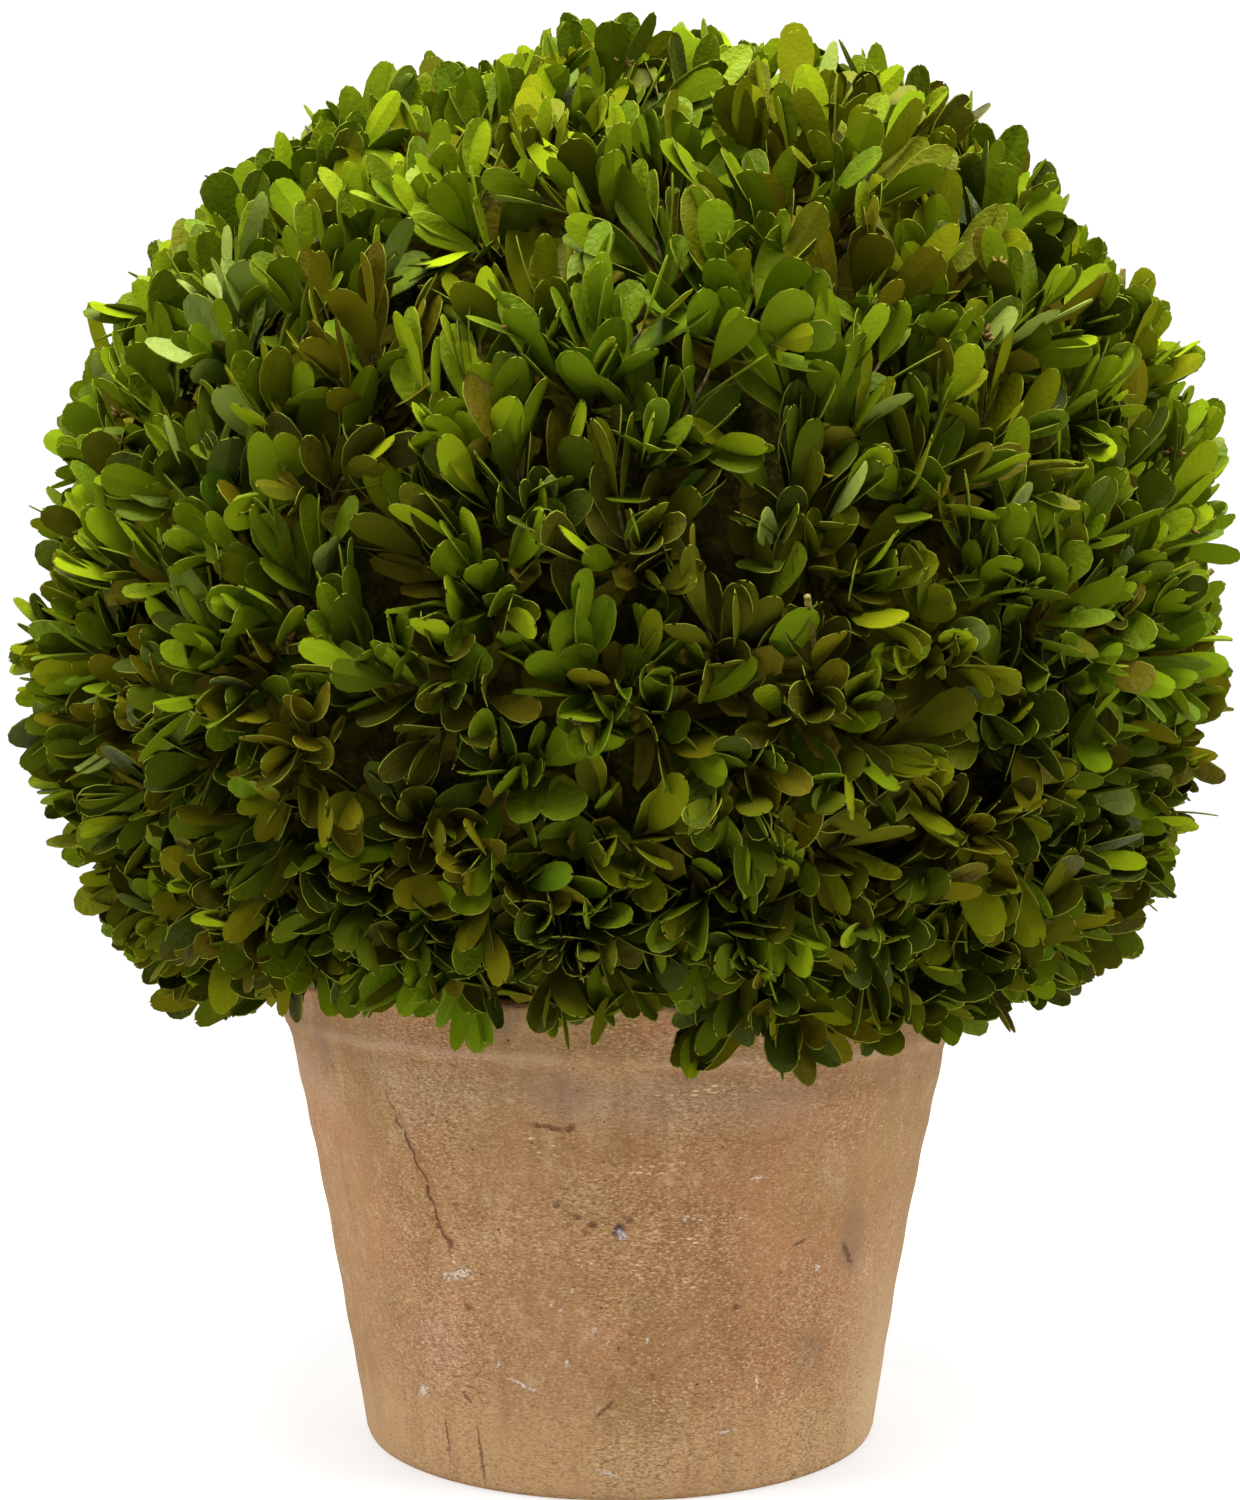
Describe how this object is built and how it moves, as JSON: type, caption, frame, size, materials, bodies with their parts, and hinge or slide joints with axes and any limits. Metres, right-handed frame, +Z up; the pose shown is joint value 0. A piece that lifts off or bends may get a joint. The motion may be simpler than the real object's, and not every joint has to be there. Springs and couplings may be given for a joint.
{
  "type": "potted box topiary ball",
  "caption": "Clipped ball of preserved box foliage on a short hidden stem, standing in a round, gently flared terracotta pot, as an ornament for a table or shelf.",
  "frame": {"origin": "centre of the pot's flat underside", "axes": "+Z up along the pot's axis, -Y towards the side that faces the viewer, +X to the viewer's right"},
  "size_m": [0.3475, 0.3488, 0.405],
  "materials": {
    "terracotta": "unglazed, dry and weathered, with a soft mottling",
    "dry_fill": "rough, brown",
    "stem_bark": "rough bark",
    "foliage": "satin preserved leaves"
  },
  "bodies": {
    "root": {"pot": "terracotta", "pot_fill": "dry_fill", "stem": "stem_bark", "foliage_ball": "foliage"}
  },
  "joints": []
}
